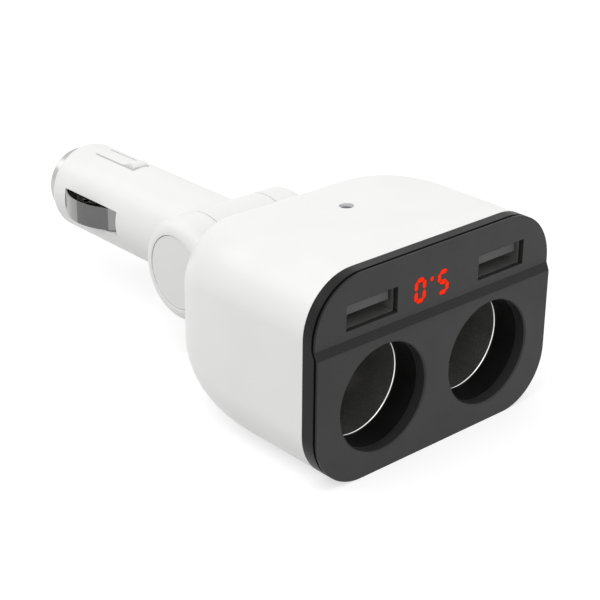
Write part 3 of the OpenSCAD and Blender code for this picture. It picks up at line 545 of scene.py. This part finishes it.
class CHARGER_OT_sockets(bpy.types.Operator):
    """Liners, sleeves and centre contacts of the two sockets"""
    bl_idname = "charger.sockets"
    bl_label = "Dress the sockets"

    def execute(self, context):
        s = sizes()
        for side in SIDES:
            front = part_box(f"socket_liner_{side}")[0].y
            eased(f"socket_liner_{side}", "liner", "liner_plastic",
                  (s.metal_edge, lambda m: at(m.y, front)))
            low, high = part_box(f"socket_sleeve_{side}")
            middle = (low + high) / 2
            wall_middle = (high.x - low.x) / 2 - SLEEVE_WALL / 2
            sleeve = eased(f"socket_sleeve_{side}", "sleeve", "bright_steel",
                           (s.sleeve_edge, lambda m: at(m.y, low.y)
                            and math.hypot(m.x - middle.x, m.z - middle.z) < wall_middle))
            # The sleeves' rolled front edge is polished and also painted paler, as a painted highlight.
            repaint(sleeve, "rim", lambda m, n: m.y < low.y + s.sleeve_edge)
            paint_nodes("contact", f"socket_contact_{side}")
        return {"FINISHED"}


class CHARGER_OT_ports(bpy.types.Operator):
    """Shells, tongues and contact strips of the two ports"""
    bl_idname = "charger.ports"
    bl_label = "Dress the ports"

    def execute(self, context):
        edge = sizes().sheet_edge
        for side in SIDES:
            shell = eased(f"usb_shell_{side}", "tin", "bright_steel", (edge, everywhere))
            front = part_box(f"usb_shell_{side}")[0].y + edge
            # The shell's front edges get the black liner plastic, as painted shadow in the gap between the
            # panel's opening and the shell.
            repaint(shell, "liner", lambda m, n: m.y < front)
            eased(f"usb_tongue_{side}", "port", "port_plastic", (edge, everywhere))
            paint_nodes("contact", f"usb_pins_{side}")
        return {"FINISHED"}


class CHARGER_OT_display(bpy.types.Operator):
    """Lit strokes, the display block behind them and the indicator lamp"""
    bl_idname = "charger.display"
    bl_label = "Dress the display"

    def execute(self, context):
        paint_nodes("light", "display_segments")
        paint_nodes("pale", "display_module", "indicator_led")
        eased("indicator_lens", "guide", "indicator_smoke", (sizes().metal_edge, everywhere))
        return {"FINISHED"}


class CHARGER_OT_board(bpy.types.Operator):
    """Circuit board with its parts and screws"""
    bl_idname = "charger.board"
    bl_label = "Dress the circuit board"

    def execute(self, context):
        paint_nodes("board", "main_board")
        paint_nodes("coil", "power_coil")
        paint_nodes("capacitor", "capacitors")
        paint_nodes("liner", "converter_chips")
        paint_nodes("nickel", "board_screws")
        return {"FINISHED"}


class CHARGER_OT_hinge(bpy.types.Operator):
    """Caps, screw, washers and nut of the hinge"""
    bl_idname = "charger.hinge"
    bl_label = "Dress the hinge"

    def execute(self, context):
        for side in SIDES:
            eased(f"hinge_cap_{side}", "cap", "cap_grey", (sizes().cap_edge, everywhere))
        paint_nodes("nickel", "hinge_screw", "spring_washer", "hinge_nut")
        paint_nodes("brass", "friction_washers")
        return {"FINISHED"}


class CHARGER_OT_plug(bpy.types.Operator):
    """Plug's shell, side contacts and sprung tip"""
    bl_idname = "charger.plug"
    bl_label = "Dress the plug"

    def execute(self, context):
        s = sizes()
        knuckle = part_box("friction_washers")[1].x
        eased("plug_shell", "shell", "white_shell",
              (s.knuckle_edge, lambda m: at(abs(m.x), knuckle, KNUCKLE_REACH) and m.y < KNUCKLE_END),
              (s.latch_edge, lambda m: m.z > TONGUE_LOW and abs(m.x) < TONGUE_HALF and m.y > SLOTS_START),
              (s.slot_edge, lambda m: m.y > SLOTS_START))
        for side in SIDES:
            low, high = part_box(f"side_contact_{side}")
            contact = eased(f"side_contact_{side}", "strip", "contact_steel", (s.metal_edge, everywhere))
            # The contacts' ends beyond these lengths are painted paler, as painted sheen where the bent
            # ends catch the light.
            repaint(contact, "painted_sheen", lambda m, n: not low.y + s.sheen_root < m.y < high.y - s.sheen_tip)
        eased("nose_ring", "nickel", "bright_steel", (s.metal_edge, everywhere))
        eased("centre_pin", "nickel", "bright_steel", (s.metal_edge, everywhere))
        paint_nodes("nickel", "fuse_caps", "plug_spring")
        paint_nodes("brass", "spring_seat")
        paint_nodes("glass", "fuse_glass")
        return {"FINISHED"}


# Stage


def add_floor():
    """A pale floor just under the object, which glows where it is seen so that it shows white."""
    mesh = bpy.data.meshes.new("floor")
    bm = bmesh.new()
    bmesh.ops.create_grid(bm, x_segments=1, y_segments=1, size=FLOOR_HALF)
    bmesh.ops.translate(bm, verts=bm.verts, vec=(0, 0, CAD_LOW.z - FLOOR_GAP))
    bm.to_mesh(mesh)
    bm.free()
    floor = bpy.data.objects.new("floor", mesh)
    bpy.context.scene.collection.objects.link(floor)
    mesh.materials.append(white_paper().material)


def white_paper():
    """Matt paper: shows the object's soft shadow and is otherwise as white as the backdrop."""
    f = Finish("White paper", "#bfbfbf", 0.9, specular=0)
    glow = f.node("ShaderNodeEmission", [("Strength", seen_strength(f.tree, 0, FLOOR_GLOW))])
    both = f.node("ShaderNodeAddShader", [(0, f.shader.outputs[0]), (1, glow.outputs[0])])
    f.tree.links.new(both.outputs[0], f.tree.nodes["Material Output"].inputs["Surface"])
    return f


def seen(tree):
    """1 for rays from the camera, metal and glass, which see a white backdrop, and 0 for the rest."""
    path = add_node(tree, "ShaderNodeLightPath")
    out = path.outputs["Is Camera Ray"]
    for ray in ("Is Glossy Ray", "Is Transmission Ray"):
        either = add_node(tree, "ShaderNodeMath", [(0, out), (1, path.outputs[ray])], operation="MAXIMUM")
        out = either.outputs[0]
    return out


def seen_strength(tree, low, high):
    """Strength of a backdrop: one level for light and another one where it is seen."""
    return add_node(tree, "ShaderNodeMapRange", [("Value", seen(tree))],
                    [("To Min", low), ("To Max", high)]).outputs[0]


def add_sky():
    """An even soft light from all round, which is seen as white."""
    world = bpy.data.worlds.new("Studio")
    bpy.context.scene.world = world
    world.use_nodes = True
    sky = world.node_tree
    background = sky.nodes["Background"]
    background.inputs["Color"].default_value = WHITE
    sky.links.new(seen_strength(sky, SKY_LEVEL, 1), background.inputs["Strength"])


def add_lamp(name, place, spread, power):
    """A soft area lamp that faces the middle of the object."""
    data = bpy.data.lights.new(name, "AREA")
    data.shape = "RECTANGLE"
    data.size, data.size_y = spread
    data.energy = power
    lamp = bpy.data.objects.new(name, data)
    bpy.context.scene.collection.objects.link(lamp)
    lamp.location = place
    lamp.rotation_euler = (LAMP_TARGET - lamp.location).to_track_quat("-Z", "Y").to_euler()


def add_camera():
    """The camera at the photo's place and angle."""
    data = bpy.data.cameras.new("camera")
    data.lens = CAMERA_LENS
    data.clip_start, data.clip_end = CAMERA_CLIP
    camera = bpy.data.objects.new("camera", data)
    bpy.context.scene.collection.objects.link(camera)
    camera.location = CAMERA_PLACE
    camera.rotation_mode = "QUATERNION"
    turn = Matrix((CAMERA_RIGHT, CAMERA_UP, CAMERA_RIGHT.cross(CAMERA_UP))).transposed()
    camera.rotation_quaternion = turn.to_quaternion()
    bpy.context.scene.camera = camera


class CHARGER_OT_stage(bpy.types.Operator):
    """Floor, sky, lamps and camera"""
    bl_idname = "charger.stage"
    bl_label = "Set the stage"

    def execute(self, context):
        add_floor()
        add_sky()
        for lamp in LAMPS:
            add_lamp(*lamp)
        add_camera()
        context.scene.view_settings.view_transform = "Standard"
        return {"FINISHED"}


class CHARGER_PT_panel(bpy.types.Panel):
    """Sizes, colours and the steps that dress the charger"""
    bl_idname = "CHARGER_PT_panel"
    bl_label = "Car charger plug"
    bl_space_type = "VIEW_3D"
    bl_region_type = "UI"
    bl_category = "Charger"

    def draw(self, context):
        for group in (context.scene.charger_sizes, context.scene.charger_colours):
            for key in group.__annotations__:
                self.layout.prop(group, key)
        for step in STEPS:
            self.layout.operator(step.bl_idname)


STEPS = (CHARGER_OT_housing, CHARGER_OT_sockets, CHARGER_OT_ports, CHARGER_OT_display,
         CHARGER_OT_board, CHARGER_OT_hinge, CHARGER_OT_plug, CHARGER_OT_stage)
CLASSES = (ChargerSizes, ChargerColours, *STEPS, CHARGER_PT_panel)


def register():
    """Registers the classes and gives the scene its sizes and colours."""
    for cls in CLASSES:
        bpy.utils.register_class(cls)
    bpy.types.Scene.charger_sizes = bpy.props.PointerProperty(type=ChargerSizes)
    bpy.types.Scene.charger_colours = bpy.props.PointerProperty(type=ChargerColours)


def unregister():
    """Takes back what register did."""
    del bpy.types.Scene.charger_colours
    del bpy.types.Scene.charger_sizes
    for cls in reversed(CLASSES):
        bpy.utils.unregister_class(cls)


def main():
    """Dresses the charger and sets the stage."""
    register()
    bpy.ops.charger.housing()
    bpy.ops.charger.sockets()
    bpy.ops.charger.ports()
    bpy.ops.charger.display()
    bpy.ops.charger.board()
    bpy.ops.charger.hinge()
    bpy.ops.charger.plug()
    bpy.ops.charger.stage()


if __name__ == "__main__":
    main()
